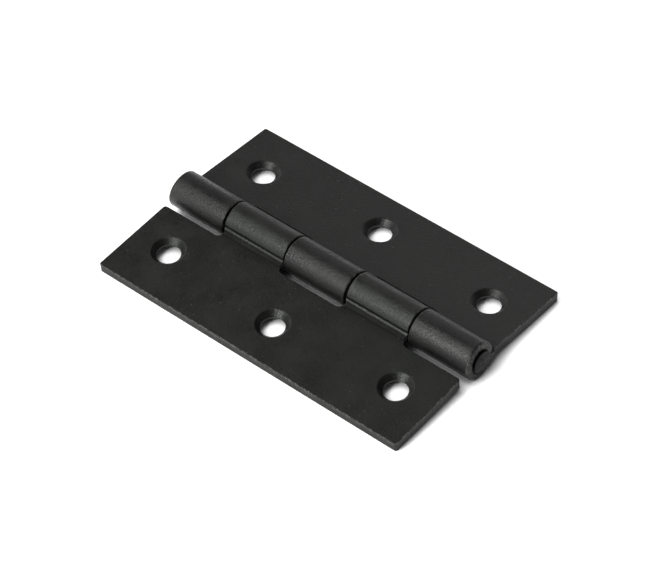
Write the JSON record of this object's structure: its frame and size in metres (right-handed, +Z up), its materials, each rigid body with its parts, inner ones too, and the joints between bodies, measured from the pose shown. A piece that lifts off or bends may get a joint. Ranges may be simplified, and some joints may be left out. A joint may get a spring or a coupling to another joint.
{
  "type": "butt hinge",
  "caption": "Pressed steel butt hinge in satin black, with leaves curled around a fixed pin and staggered countersunk screw holes, lying open.",
  "frame": {"origin": "on the ground under the middle of the pin", "axes": "+X along the pin, +Y to the three-knuckle leaf, +Z up out of the countersunk faces"},
  "size_m": [0.0782, 0.0502, 0.0079],
  "materials": {
    "leaf_steel": "satin black, finely speckled",
    "pin_steel": "rough satin black"
  },
  "bodies": {
    "frame_leaf": {"three_knuckle_leaf": "leaf_steel", "hinge_pin": "pin_steel"},
    "door_leaf": {"two_knuckle_leaf": "leaf_steel"}
  },
  "joints": [
    {"name": "hinge_swing", "type": "hinge", "parent": "frame_leaf", "child": "door_leaf", "pos_m": [0, 0, 0.00395], "axis": [-1, 0, 0], "range_deg": [-120, 187]}
  ]
}
